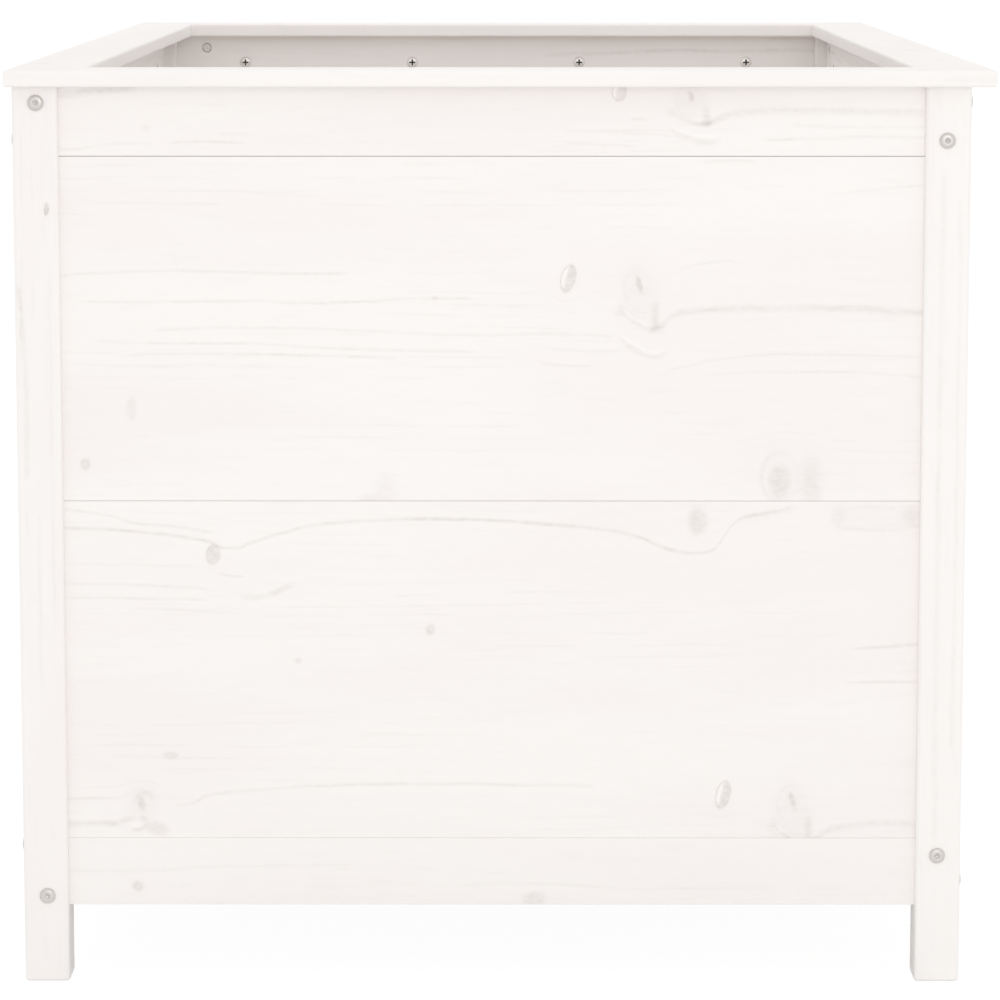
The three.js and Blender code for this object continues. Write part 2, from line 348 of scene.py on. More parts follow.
def streak(paint, along, across, mark):
    """One grain line that shows through the paint. A curve through its points gives its height at
    each place along the board; the shade falls off from it over `width` and fades at both ends.
    With `lit`, a bright line runs along its upper side: a painted highlight."""
    route = np.array(mark.route, float) * MM
    width = mark.width * MM
    low, high = route.min(0) - route_margin, route.max(0) + route_margin
    share = (route - low) / (high - low)
    way = paint.node("ShaderNodeMapRange", along, low[0], high[0], 0.0, 1.0)
    curve = paint.tree.nodes.new("ShaderNodeFloatCurve")
    points = curve.mapping.curves[0].points
    points[0].location, points[1].location = share[0], share[-1]
    for point in share[1:-1]:
        points.new(*point)
    curve.mapping.update()
    paint.tree.links.new(way, curve.inputs["Value"])
    height = paint.node("ShaderNodeMapRange", curve.outputs[0], 0.0, 1.0, low[1], high[1])
    over = paint.math("SUBTRACT", across, height)
    line = paint.math("MULTIPLY", paint.band(over, 0.0, width), mark.dark)
    # A painted highlight along the streak's upper side
    if mark.lit:
        beside = paint.band(over, bright_offset * width, bright_half * width)
        bright = paint.math("MULTIPLY", beside, mark.lit)
        line = paint.math("SUBTRACT", line, bright)
    fade = min(streak_fade, (high[0] - low[0]) / 4)
    start = paint.ramp(along, low[0], low[0] + fade)
    end = paint.ramp(along, high[0], high[0] - fade)
    return paint.math("MULTIPLY", line, paint.math("MULTIPLY", start, end))


# Noise in the paint: waves to the metre along the grain and across it, octaves, roughness, offset
GRAIN_NOISE = {
    "tremble": (35.0, 90.0, 1.0, 0.5, 2.2),
    "clouds": (2.6, 13.0, 3.0, 0.5, 5.3),
    "wander": (1.6, 9.0, 2.0, 0.45, 0.0),
    "patches": (1.9, 13.0, 1.0, 0.5, 3.1),
    "breaks": (16.0, 120.0, 1.0, 0.6, 4.4),
    "mottle": (160.0, 260.0, 2.0, 0.6, 6.6),
    "fibres": (5.0, 520.0, 2.0, 0.6, 7.7),
    "flecks": (22.0, 170.0, 2.0, 0.6, 9.1),
}
# Between which values of its noise each of these goes from none to all
cloud_range = (0.35, 0.65)
patch_range = (0.44, 0.66)
break_range = (0.42, 0.62)
mottle_range = (0.3, 0.7)
fleck_range = (0.52, 0.75)
fibre_range = (0.2, 0.8)

tremble_reach = 0.0022
wander_reach = 0.034
knot_flush = 0.5
most_flush = 1.3
knot_levelling = 0.8
line_step = 0.0095
line_half = 0.17
line_shade = 0.075
streak_least, streak_gain = 0.6, 0.4
mottle_least, mottle_most = 0.65, 1.35
fleck_shade = 0.035
fibre_shade = 0.030
mark_relief = -0.10
fibre_relief = 0.035
cloud_relief = 0.20
relief_strength = 0.7
relief_height = 0.001
paint_gloss = (0.42, 0.54)


def pile(paint, total, shade):
    """Adds one more shade to the total, or starts the total with it."""
    return shade if total is None else paint.math("ADD", total, shade)


def painted_pine(name, grain, offset, knots=(), streaks=(), strength=1.0):
    """White satin paint over planed pine. The field v = height + slow noise, pulled level at each
    knot, gives the growth lines as thin bands at even steps of v, broken up by noise. Their shade,
    the knots and the streaks are added up, tint the paint and sink into it a little. Slow noise
    turns the paint from cream to pink, and fast noise along the grain gives the fibres."""
    paint = Finish(name)
    straight = lie(paint, grain)

    def grain_noise(kind, out=0):
        """One of the noises above, taken at this piece's own place in it."""
        along_waves, across_waves, octaves, roughness, shift = GRAIN_NOISE[kind]
        stretch = (along_waves, across_waves, across_waves)
        return paint.noise(straight, stretch, octaves, roughness, offset + shift, out)

    tremble = paint.node("ShaderNodeVectorMath", grain_noise("tremble", 1), (0.5, 0.5, 0.5),
                         operation="SUBTRACT")
    place = paint.node("ShaderNodeVectorMath", tremble, (tremble_reach,) * 3, straight,
                       operation="MULTIPLY_ADD")
    along, across, _ = parts(paint, place)

    clouds = grain_noise("clouds")
    flush = paint.ramp(clouds, *cloud_range)
    field = paint.math("MULTIPLY_ADD", grain_noise("wander"), wander_reach, across)
    marks = None
    for mark in knots:
        shade, pull = knot(paint, place, mark)
        marks = pile(paint, marks, shade)
        flush = paint.math("MULTIPLY_ADD", pull, knot_flush, flush)
        lever = paint.math("MULTIPLY", paint.math("SUBTRACT", across, mark.at[1] * MM), pull)
        field = paint.math("MULTIPLY_ADD", lever, -knot_levelling, field)
    steps = paint.math("FRACT", paint.math("DIVIDE", field, line_step))
    lines = paint.band(steps, 0.5, line_half)
    some = paint.ramp(grain_noise("patches"), *patch_range)
    broken = paint.ramp(grain_noise("breaks"), *break_range)
    lines = paint.math("MULTIPLY", paint.math("MULTIPLY", lines, some), broken)
    for mark in streaks:
        shade = paint.math("MULTIPLY", streak(paint, along, across, mark),
                           paint.math("MULTIPLY_ADD", broken, streak_gain, streak_least))
        marks = pile(paint, marks, shade)
    marks = pile(paint, marks, paint.math("MULTIPLY", lines, line_shade * strength))

    if knots or streaks:
        mottle = paint.ramp(grain_noise("mottle"), *mottle_range, mottle_least, mottle_most)
        marks = paint.math("MULTIPLY", marks, mottle)
    fibres = grain_noise("fibres")
    flecks = paint.ramp(grain_noise("flecks"), *fleck_range)
    tone = paint.math("MULTIPLY_ADD", flecks, fleck_shade * strength, marks)
    tone = paint.math("MULTIPLY_ADD", fibres, fibre_shade * strength, tone)
    ground = paint.mix(paint.math("MINIMUM", flush, most_flush), PAINT_CREAM, PAINT_PINK)
    paint.link(paint.mix(tone, ground, PAINT_SHADE), "Base Color")

    fibre_height = paint.math("MULTIPLY", fibres, fibre_relief)
    relief = paint.math("MULTIPLY_ADD", marks, mark_relief, fibre_height)
    relief = paint.math("MULTIPLY_ADD", clouds, cloud_relief, relief)
    paint.bump(relief, relief_strength, relief_height)
    paint.link(paint.ramp(fibres, *fibre_range, *paint_gloss), "Roughness")
    return paint.material


def scattered_knots(rng, low, high, count, size=(4, 10)):
    """Knots in millimetres for a piece that the photograph doesn't show, in a rectangle of
    (along, across)."""
    most_tilt, soft, rim_share = 40, 0.4, 0.6
    spots = rng.uniform(low, high, (count, 2)) / MM
    halves = rng.uniform(*size, (count, 2))
    tilts = rng.uniform(-most_tilt, most_tilt, count)
    cores = rng.uniform(0.12, 0.4, count)
    return [Knot(tuple(at), tuple(half), tilt, core, rim_share * core, soft)
            for at, half, tilt, core in zip(spots, halves, tilts, cores)]


def scattered_streaks(rng, low, high, count):
    """Grain lines in millimetres for a piece that the photograph doesn't show. Each starts in a
    rectangle of (along, across) and goes on by steps that drift a little up or down."""
    points, shortest, longest, drift = 6, 35, 95, 4.5
    starts = rng.uniform(low, high, (count, 2)) / MM
    steps = rng.uniform((shortest, -drift), (longest, drift), (count, points, 2))
    widths = rng.uniform(2.1, 4.0, count)
    darks = rng.uniform(0.10, 0.24, count)
    return [Streak((start + np.cumsum(step, 0)).tolist(), width, dark)
            for start, step, width, dark in zip(starts, steps, widths, darks)]


def show(piece, slot, *nodes, material=None):
    """Hangs a finished piece on the root with its material and hides the nodes that it stands for;
    `slot` is not used.
    """
    if material:
        piece.data.materials.append(material)
    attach(piece, "root")
    if nodes:
        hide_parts(*nodes)


def make_post(side, before):
    """The rounded square carried up the post, drawn in at both ends where the edge is eased. The
    grooves are cut between the rails and the bores where the two walls' bolts go through."""
    heights = np.array([0, 0.3, 1.0]) * post_foot_ease
    heights = np.append(heights, post_height - np.array([1.0, 0]) * post_top_ease)
    insets = [post_foot_ease, 0.5 * post_foot_ease, 0, 0, post_top_ease]
    sections = [rounded_square(inset) for inset in insets]
    rings = [np.column_stack([section, np.full(len(section), z)])
             for z, section in zip(heights, sections)]
    name = f"post_{POSTS[side]}"
    post = skin(name + "_planed", stand(side, np.stack(rings)))

    groove = wall_recess + (wall_thickness - tongue_thickness) / 2 - clearance
    groove_end = groove + tongue_thickness + 2 * clearance
    open_side = post_size + past
    floor = post_size - tenon_length
    grooves = [
        ((floor, groove, joints[1]), (open_side, groove_end, joints[3])),
        ((groove, floor, joints[1]), (groove_end, open_side, joints[3])),
    ]
    cutters = []
    for low, high in grooves:
        corners = stand(side, np.array([low, high]))
        cutters.append(block(corners.min(0), corners.max(0)))
    out, through = -past, post_size + past
    for place in ("top", "bottom"):
        z = axis_height(f"{side}_{place}_bolt_left")
        ends = stand(side, np.array([(out, bolt_depth, z), (through, bolt_depth, z)]))
        cutters.append(rod(*ends, bolt_radius + clearance))
        z = axis_height(f"{before}_{place}_bolt_right")
        ends = stand(side, np.array([(bolt_depth, out, z), (bolt_depth, through, z)]))
        cutters.append(rod(*ends, bolt_radius + clearance))
    cut(post, cutters)
    return post


# The posts' own marks, in millimetres: (height, across) on the faces that look to front and rear
POST_MARKS = {
    "front": ([Knot((663.5, -379.2), (5.4, 1.9), 4, 0.50, 0, 0.35)],
              [Streak([(300, -376.5), (460, -377.5), (620, -376.2)], 3.0, 0.08),
               Streak([(430, -399.5), (500, -398.6), (560, -400.5), (606, -405.5)], 4.0, 0.17),
               Streak([(250, -388), (330, -389.5), (410, -388.8)], 3.0, 0.09)]),
    "right": ([], [Streak([(120, 372), (400, 369.5), (700, 371.2)], 4.0, 0.09),
                   Streak([(200, 383.5), (520, 385), (680, 384.2)], 3.2, 0.09)]),
    "rear": ([Knot((520, 376), (8, 4), 0, 0.3)], []),
    "left": ([Knot((310, -390), (7, 4), 5, 0.3)], []),
}
# Where the first post lies in the noise, and how much farther on each of the others does
first_post_offset, post_offset = 11.0, 4.3

for number, side in enumerate(WALLS):
    before = list(WALLS)[number - 1]
    offset = first_post_offset + post_offset * number
    wood = painted_pine(f"painted_post_{side}", "ZXY", offset, *POST_MARKS[side])
    show(make_post(side, before), "painted_pine", f"post_{POSTS[side]}", material=wood)


# ---------------------------------------------------------------- Walls
# Two wide boards between a bottom and a top rail, in pine glued up to width. Tongues on the upper
# edges fit the grooves above, tenons at the boards' ends stand in the posts' grooves, and the
# rails' ends are bored for a bolt and for the barrel nut that it draws on.

arris = 0.0005
end_arris = 0.00004
nut_radius = 0.005
nut_length = 0.013
nut_setback = 0.034
nut_sink = 0.0005
bolt_tip = 0.003
# How wide the line between two rows is left open by the paint, from the bottom joint up
open_seams = (0, 0.00007, 0.00022, 0.00038, 0)
ROWS = ("bottom_rail", "board_1", "board_2", "top_rail")


def wall_section(row, inset=0.0):
    """Section of one row as (inwards, up) points, with its groove below and its tongue above, drawn
    in by `inset` at the corners that show, and with these eased to a small arris."""
    low = joints[row] + open_seams[row] / 2
    high = joints[row + 1] - open_seams[row + 1] / 2
    front, back = wall_recess + inset, wall_inner - inset
    tongue = np.array([-1, 1]) * tongue_thickness / 2 + wall_recess + wall_thickness / 2
    points = [(front, low + inset)]
    eased = [arris]
    if row > 0:
        groove = tongue + np.array([-1, 1]) * clearance
        top = joints[row] + tongue_height
        points += [(groove[0], low + inset), (groove[0], top), (groove[1], top),
                   (groove[1], low + inset)]
        eased += [0, 0, 0, 0]
    points += [(back, low + inset), (back, high - inset)]
    eased += [arris, arris]
    if row < len(ROWS) - 1:
        top = joints[row + 1] + tongue_height - clearance
        points += [(tongue[1], high - inset), (tongue[1], top), (tongue[0], top),
                   (tongue[0], high - inset)]
        eased += [0, 0, 0, 0]
    points += [(front, high - inset)]
    eased += [arris]
    return ease(points, np.array(eased))


def make_row(side, row, cuts=()):
    """The section carried along the wall, drawn in at both ends for the arris there. A board goes
    on past its ends as a tenon: its section clipped to the tenon's rectangle. At `cuts` it only
    gets one more ring, where one paint can follow another."""
    start, end = post_size, SPANS[side] - post_size
    stations = [start, start + end_arris, *cuts, end - end_arris, end]
    insets = [end_arris, 0, *(0 for _ in cuts), 0, end_arris]
    sections = [wall_section(row, inset) for inset in insets]
    if ROWS[row].startswith("board"):
        middle = wall_recess + wall_thickness / 2
        low = (middle - tongue_thickness / 2, joints[row] + tongue_height + clearance)
        high = (middle + tongue_thickness / 2, joints[row + 1] - seam / 2)
        tenon = np.clip(sections[0], low, high)
        stations = [start - tenon_length, start] + stations + [end, end + tenon_length]
        sections = [tenon, tenon] + sections + [tenon, tenon]
    rings = [np.column_stack([np.full(len(section), s), section])
             for s, section in zip(stations, sections)]
    return skin(f"{side}_{ROWS[row]}_planed", stand(side, np.stack(rings)))


def bore_rail(rail, side, place):
    """A bore in from each end for the bolt, and a pocket in from the inner face for its nut."""
    bore = nut_setback + nut_radius + bolt_tip
    pocket_low = wall_inner - nut_sink - nut_length - clearance
    cutters = []
    for end in ("left", "right"):
        z = axis_height(f"{side}_{place}_bolt_{end}")
        s = np.array([post_size - past, post_size + bore, post_size + nut_setback])
        if end == "right":
            s = SPANS[side] - s
        ends = stand(side, np.array([(s[0], bolt_depth, z), (s[1], bolt_depth, z)]))
        cutters.append(rod(*ends, bolt_radius + clearance))
        ends = stand(side, np.array([(s[2], pocket_low, z), (s[2], wall_inner + past, z)]))
        cutters.append(rod(*ends, nut_radius + clearance))
    cut(rail, cutters)


def knot_pair(x, z, squash=1.0):
    """Two knots and the grain under them, in millimetres round the slit knot at (x, z): a round
    knot 60 to its left, with painted highlight and shade as if it stood proud, a slit, and two
    lines that dip below the slit and rise to its right, the upper one as far as the post. The
    arcs have painted highlights above them. Heights are drawn together by `squash`."""
    def at(*points):
        return [(x + dx, z + dz * squash) for dx, dz in points]
    knots = [
        Knot(*at((-59.6, 5)), (6.0, 11.8 * squash), -13, 0.30, 0.30, 0.28, 0.10),
        Knot(*at((0, 0)), (2.3, 7.5 * squash), 15, 0.30, 0.0, 0.45),
        Knot(*at((-1, -6)), (12, 20 * squash), 10, 0.06, 0.05, 0.8),
        Knot(*at((13.4, -25)), (3.0, 9 * squash), 0, 0.17, 0.0, 0.7),
        Knot(*at((14, -36)), (6, 4.5 * squash), 0, 0.15, 0.0, 0.8),
        Knot(*at((-16, -22)), (4, 5 * squash), -20, 0.10, 0.0, 0.8),
    ]
    arc = at((-18, -19), (-10, -28.5), (0, -34.5), (8, -38), (15, -37.5), (24, -30))
    line = at((4, -38.5), (15, -36.5), (24, -30), (42, -22.8), (84, -20.3), (366 - x, -24))
    lower = at((-20, -39), (-11, -51), (0, -57.5), (10, -61.5), (18.5, -61), (28, -54))
    inner = at((-12, -14), (-8, -24), (0, -29), (8, -27))
    return knots, [Streak(arc, 3.4, 0.18, 0.07), Streak(line, 5.3, 0.19),
                   Streak(lower, 4.2, 0.23, 0.08), Streak(inner, 2.2, 0.10, 0.03)]


# The front wall's knots and streaks as they show, in millimetres (along X, height)
FRONT_KNOTS = {
    "top_rail": [Knot((-296, 731), (3, 2.5), 0, 0.08, 0, 0.6)],
    "board_2": [
        Knot((-311, 494), (4, 9), 0, 0.13, 0, 0.5),
        Knot((-350, 447), (4.2, 4.8), 0, 0.28, 0, 0.45),
        Knot((236, 433), (8.8, 14), 0, 0.20, 0, 0.4),
        Knot((236, 436), (16, 22), 0, 0.03, 0.08, 0.3),
        Knot((262.5, 431), (8.5, 20), 0, 0.16, 0, 0.7),
        Knot((-97, 424), (9, 12), 0, 0.08, 0, 0.6),
        Knot((-111, 417), (8, 4), 0, 0.10, 0, 0.5),
        Knot((-55, 588), (2.6, 1.6), 0, 0.23, 0, 0.4),
    ],
    "board_1": [
        Knot((-243, 370), (6.0, 8.4), 0, 0.29, 0.22, 0.3),
        Knot((167, 398.5), (7.8, 11), 0, 0.22, 0.0, 0.4),
        Knot((316, 402), (31, 10.5), 0, 0.03, 0.02, 0.4),
        Knot((349, 402.5), (7.5, 8), 0, 0.15, 0, 0.6),
        Knot((286, 403), (6, 8), 0, 0.07, 0, 0.6),
        Knot((-59, 305), (3.8, 4.4), 0, 0.26, 0, 0.45),
        Knot((-172, 278), (3, 2.2), 0, 0.18, 0, 0.45),
        Knot((-281, 196), (6, 2.6), 0, 0.22, 0, 0.4),
        Knot((-306, 153.5), (3.0, 5.2), 12, 0.24, 0, 0.5),
        Knot((-305, 154), (12, 13), 0, 0.05, 0, 0.7),
        # A pale oval: a painted highlight over the dark arc of its lower edge
        Knot((-311, 135.4), (5.3, 3.6), 0, -0.08, 0, 0.4),
        Knot((-333, 136), (4.5, 2), 0, 0.17, 0, 0.6),
        Knot((-294, 132.5), (9.5, 5.4), -18, 0.17, 0, 0.7),
        Knot((-305, 141.5), (3, 2.4), 0, 0.15, 0, 0.6),
    ],
    "bottom_rail": [
        Knot((-310, 81.5), (4.6, 4.0), 0, 0.30, 0, 0.45),
        Knot((29, 70), (9, 6), 0, 0.20, 0, 0.5),
    ],
}
FRONT_STREAKS = {
    "top_rail": [
        # The first, under the rim at the left end, is grain and a painted shadow of the rim
        Streak([(-382, 757), (-352, 760.5), (-331, 763), (-300, 765)], 5.5, 0.30),
        Streak([(-382, 712.5), (-352, 713.5), (-335, 717), (-310, 718.6), (-285, 717)], 2.1, 0.14),
        Streak([(-256, 749.5), (-241, 750), (-226, 749.5)], 2.1, 0.12),
        Streak([(-281, 718), (-251, 719.5), (-209, 718)], 2.2, 0.17),
        Streak([(-239, 725.5), (-224, 726), (-205, 725.5)], 2.0, 0.15),
        Streak([(50, 729), (84, 728), (126, 726), (150, 724)], 2.4, 0.12),
        Streak([(50, 719), (84, 717), (117, 715)], 2.1, 0.12),
        Streak([(108, 739), (116, 738.6), (126, 738.4)], 2.4, 0.17),
        Streak([(240, 733), (293, 732.4), (366, 732)], 2.4, 0.09),
        Streak([(215, 721), (260, 722), (305, 724), (366, 722)], 2.4, 0.12),
    ],
    "board_2": [
        Streak([(165, 702), (185, 703.6), (218, 703)], 2.4, 0.19),
        Streak([(280, 675), (320, 680), (366, 684)], 2.2, 0.10),
        Streak([(-382, 606), (-335, 609), (-285, 611), (-176, 609), (-126, 609)], 2.2, 0.17),
        Streak([(-356, 585), (-293, 585), (-209, 586), (-168, 584), (-113, 585), (-59, 588),
                (-17, 586)], 2.1, 0.17),
        Streak([(-293, 561), (-201, 563), (-125, 561), (-17, 557), (50, 558), (100, 552)],
               2.4, 0.14),
        Streak([(-302, 550), (-209, 550), (-168, 547), (-84, 544), (-17, 543)], 2.1, 0.14),
        Streak([(-322, 539), (-251, 541), (-168, 540), (-84, 537)], 2.1, 0.16),
        Streak([(-335, 530), (-260, 531), (-184, 530)], 2.1, 0.09),
        Streak([(33, 548), (75, 543), (101, 544)], 2.4, 0.12),
        Streak([(30, 535), (60, 531), (84, 532)], 2.2, 0.14),
        Streak([(136, 526), (155, 531), (197, 538), (240, 541), (300, 540), (366, 538)], 2.2, 0.13),
        Streak([(170, 522), (188, 524), (240, 526), (366, 519)], 2.2, 0.12),
        Streak([(145, 609), (167, 617), (201, 620)], 2.2, 0.09),
    ],
    "board_1": [
        Streak([(-382, 410), (-336, 404), (-302, 396), (-268, 393), (-238, 387)], 2.2, 0.15),
        Streak([(-382, 393), (-328, 391), (-294, 388), (-260, 384), (-243, 380), (-228, 375),
                (-214, 379), (-184, 388), (-143, 397), (-42, 400), (50, 395), (101, 389),
                (117, 385), (136, 377), (151, 373), (168, 371), (178, 373), (186, 380),
                (193, 390), (201, 399), (210, 403), (231, 406), (252, 413)], 2.7, 0.28),
        Streak([(-382, 362), (-311, 361), (-252, 360)], 2.1, 0.10),
        Streak([(-242, 354), (-231, 352), (-216, 351)], 2.1, 0.17),
        Streak([(-382, 345), (-294, 343), (-239, 339)], 2.1, 0.14),
        Streak([(-382, 333), (-311, 332), (-243, 331)], 2.2, 0.17),
        Streak([(-224, 333), (-208, 333), (-194, 336), (-183, 341), (-170, 345)], 4.2, 0.21),
        Streak([(-315, 324), (-268, 322), (-217, 319)], 2.1, 0.11),
        Streak([(280, 397), (292, 392.5), (310, 390.8), (330, 391), (350, 393.5), (366, 397)],
               3.0, 0.12),
        Streak([(206, 401), (222, 404), (238, 406), (256, 412)], 5.5, 0.09),
        Streak([(226, 125), (240, 126.5), (255, 127), (268, 128)], 4.0, 0.12),
        Streak([(294, 288), (320, 290), (366, 293)], 2.7, 0.19),
        Streak([(290, 259), (320, 260), (366, 260)], 2.5, 0.17),
        Streak([(-382, 158), (-340, 158.6), (-317, 158)], 2.2, 0.15),
        Streak([(-382, 135.8), (-345, 136), (-328, 136.8), (-319, 140), (-307, 142)], 5.0, 0.23),
        Streak([(-315, 148), (-311.5, 158), (-303, 162), (-297, 159), (-294, 150)], 4.8, 0.21),
        Streak([(-317, 132.5), (-311, 131), (-304, 134), (-300, 141)], 3.0, 0.24),
        Streak([(-283, 154), (-271, 153), (-255, 159), (-245, 162), (-195, 167), (-102, 171),
                (84, 169)], 2.5, 0.17),
    ],
    "bottom_rail": [
        Streak([(-382, 96), (-320, 94.5), (-250, 98.5), (-120, 100)], 2.4, 0.08),
        Streak([(-40, 80), (29, 83.5), (120, 79.5), (240, 80.5)], 2.4, 0.08),
    ],
}
for kind, slit in (("top_rail", (159, 758, 0.63)), ("board_2", (117, 600, 1.0)),
                   ("board_1", (250, 157, 1.0))):
    pair_knots, pair_streaks = knot_pair(*slit)
    FRONT_KNOTS[kind] += pair_knots
    FRONT_STREAKS[kind] += pair_streaks

# A front board's paint is one formula in three fields, each with only the marks that reach it
FIELD_ENDS = np.array((-1000, -120, 20, 1000))


def marks_between(kind, low, high):
    """The front knots and streaks of one row that reach into a field of X. What a knot does to
    the grain has faded at three half axes."""
    knots = [k for k in FRONT_KNOTS[kind]
             if low - 3 * max(k.half) < k.at[0] < high + 3 * max(k.half)]
    streaks = [s for s in FRONT_STREAKS[kind] if s.route[0][0] < high and s.route[-1][0] > low]
    return knots, streaks


def scattered_marks(side, row):
    """Knots and streaks for a wall that the photograph doesn't show. They keep a little away from
    the edges. The rear top rail has no knots, because its inner face shows over the rim."""
    kind = ROWS[row]
    count = 7 if side in ("right", "left") else 5
    if kind.endswith("rail"):
        count = 0 if side == "rear" and kind == "top_rail" else 2
    reach = SPANS[side] / 2 - knot_inset
    low = (-reach, joints[row] + knot_margin)
    high = (reach, joints[row + 1] - knot_margin)
    knots = scattered_knots(rng, low, high, count)
    low = (-reach - streak_lead, joints[row] + streak_margin)
    high = (reach - streak_tail, joints[row + 1] - streak_margin)
    return knots, scattered_streaks(rng, low, high, count + 1)


def paint_fields(piece, paints, ends):
    """Gives each face the paint of the field that its middle lies in, counted along X."""
    mesh = piece.data
    middles = np.empty(3 * len(mesh.polygons))
    mesh.polygons.foreach_get("center", middles)
    for paint in paints:
        mesh.materials.append(paint)
    mesh.polygons.foreach_set("material_index", np.searchsorted(ends, middles[::3]))


knot_inset = 0.08
knot_margin = 0.012
streak_lead = 0.15
streak_tail = 0.2
streak_margin = 0.005
hidden_wall_strength = 1.3
wall_offset, row_offset = 2.9, 1.7

rng = np.random.default_rng(61)
inner_ends = FIELD_ENDS[1:-1] * MM
for number, side in enumerate(WALLS):
    grain = "XZY" if side in ("front", "rear") else "YZX"
    for row, kind in enumerate(ROWS):
        node = f"{side}_{kind}"
        offset = wall_offset * number + row_offset * row
        if side == "front":
            woods = [painted_pine(f"painted_{node}_{field}", grain, offset,
                                  *marks_between(kind, low, high))
                     for field, (low, high) in enumerate(zip(FIELD_ENDS, FIELD_ENDS[1:]), 1)]
            piece = make_row(side, row, inner_ends - corner_low[0])
        else:
            woods = [painted_pine(f"painted_{node}", grain, offset, *scattered_marks(side, row),
                                  strength=hidden_wall_strength)]
            piece = make_row(side, row)
        if kind.endswith("rail"):
            bore_rail(piece, side, kind.split("_")[0])
        paint_fields(piece, woods, inner_ends if len(woods) > 1 else [])
        show(piece, "painted_pine", node)


# ---------------------------------------------------------------- Rim
# Four flat boards laid on the posts and top rails, mitred at the corners and glued. Their long
# edges are rounded with a router before painting, so that there is nothing sharp to lean on.

rim_low = np.array(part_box("rim_front")[0])
rim_high = np.array(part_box("rim_rear")[1])
rim_width = 0.062
rim_thickness = rim_high[2] - rim_low[2]
rim_edge = 0.0028
rim_edge_steps = 6
mitre_gap = 0.00002
rim_knot_inset = 0.1
rim_knot_band = 0.02
rim_knot_halves = (3, 7)
rim_strength = 0.8
first_rim_offset, rim_offset = 21.0, 3.7
RIMS = {
    "front": (rim_low[0], rim_low[1]), "right": (rim_high[0], rim_low[1]),
    "rear": (rim_high[0], rim_high[1]), "left": (rim_low[0], rim_high[1]),
}


def make_rim(side):
    """The flat section, its corners eased, carried from mitre to mitre: at each end a point lies as
    far along as it lies inwards from the outer edge, plus half of the glue line."""
    flat = [(0, 0), (rim_width, 0), (rim_width, rim_thickness), (0, rim_thickness)]
    section = ease(flat, rim_edge, rim_edge_steps)
    length = (rim_high - rim_low)[0 if side in ("front", "rear") else 1]
    inset = section[:, 0] + mitre_gap / 2
    rings = [np.column_stack([s, section]) for s in (inset, length - inset)]
    _, along, inwards = (np.array(v, float) for v in WALLS[side])
    points = np.stack(rings)
    start = np.array([*RIMS[side], rim_low[2]])
    placed = start + points[..., :1] * along + points[..., 1:2] * inwards + points[..., 2:] * UP
    return skin(f"rim_{side}_planed", placed)


for number, side in enumerate(RIMS):
    across_y = side in ("front", "rear")
    outer = RIMS[side][1 if across_y else 0]
    middle = outer - math.copysign(rim_width / 2, outer)
    reach = (rim_high - rim_low)[0 if across_y else 1] / 2 - rim_knot_inset
    edges = (-reach, middle - rim_knot_band), (reach, middle + rim_knot_band)
    knots = scattered_knots(rng, *edges, 2 if across_y else 3, rim_knot_halves)
    wood = painted_pine(f"painted_rim_{side}", "XYZ" if across_y else "YXZ",
                        first_rim_offset + rim_offset * number, knots, strength=rim_strength)
    show(make_rim(side), "painted_pine", f"rim_{side}", material=wood)


# ---------------------------------------------------------------- Bolts and barrel nuts
# Zinc-plated steel furniture bolts with a flat domed head and a hex socket. Each goes through a
# post into a rail, where a slotted barrel nut, let in from the inner face, takes its thread.

head_radius = 0.0066
head_height = 0.0022
socket_half = 0.0020
socket_depth = 0.0020
socket_point = 0.0010
socket_chamfer = 0.0004
socket_chamfer_depth = 0.0002
flat_radius = 0.0030
dome_reach = 0.0034
dome_rise = 0.0020
head_chamfer = 0.0002
bolt_chamfer = 0.0006
near_axis = 1e-5  # the smallest radius of a turned piece, where its end closes
thread_pitch = 0.001
thread_depth = 0.0003
thread_length = 0.022
thread_lead = 0.001
bolt_sides = 48
nut_sides = 40
nut_chamfer = 0.0006
bolt_length = clearance + post_size + nut_setback + nut_radius + bolt_tip
nut_place = post_size + nut_setback
slot_width = 0.0016
slot_depth = 0.0014
ZINC = (0.67, 0.64, 0.61)
# The screws' zinc: a lighter copy of ZINC, painted light to make up for the shade inside the box
SCREW_ZINC_PAINTED_LIGHT = (0.80, 0.775, 0.74)
zinc_waves = 600.0
zinc_shares = (0.92, 1.08)
zinc_gloss = (0.34, 0.50)
scratch_waves = 2500.0
scratch_strength = 0.15
scratch_height = 0.0001


def zinc_steel(name, tone):
    """Zinc over steel: pale metal with fine turning marks and a slightly mottled gloss."""
    zinc = Finish(name)
    place = zinc.node("ShaderNodeTexCoord", out=3)
    mottle = zinc.noise(place, (zinc_waves,) * 3, 3.0, 0.6)
    dark, pale = ([share * c for c in tone] for share in zinc_shares)
    zinc.link(zinc.mix(mottle, dark, pale), "Base Color")
    zinc.link(zinc.ramp(mottle, 0.2, 0.8, *zinc_gloss), "Roughness")
    zinc.shader.inputs["Metallic"].default_value = 1.0
    scratches = zinc.noise(place, (scratch_waves,) * 3, 2.0, 0.5, 4.0)
    zinc.bump(scratches, scratch_strength, scratch_height)
    return zinc.material


def smooth(piece, angle=35):
    """Smooth shading, but not over edges sharper than the angle."""
    piece.data.shade_smooth()
    piece.data.set_sharp_from_angle(angle=math.radians(angle))


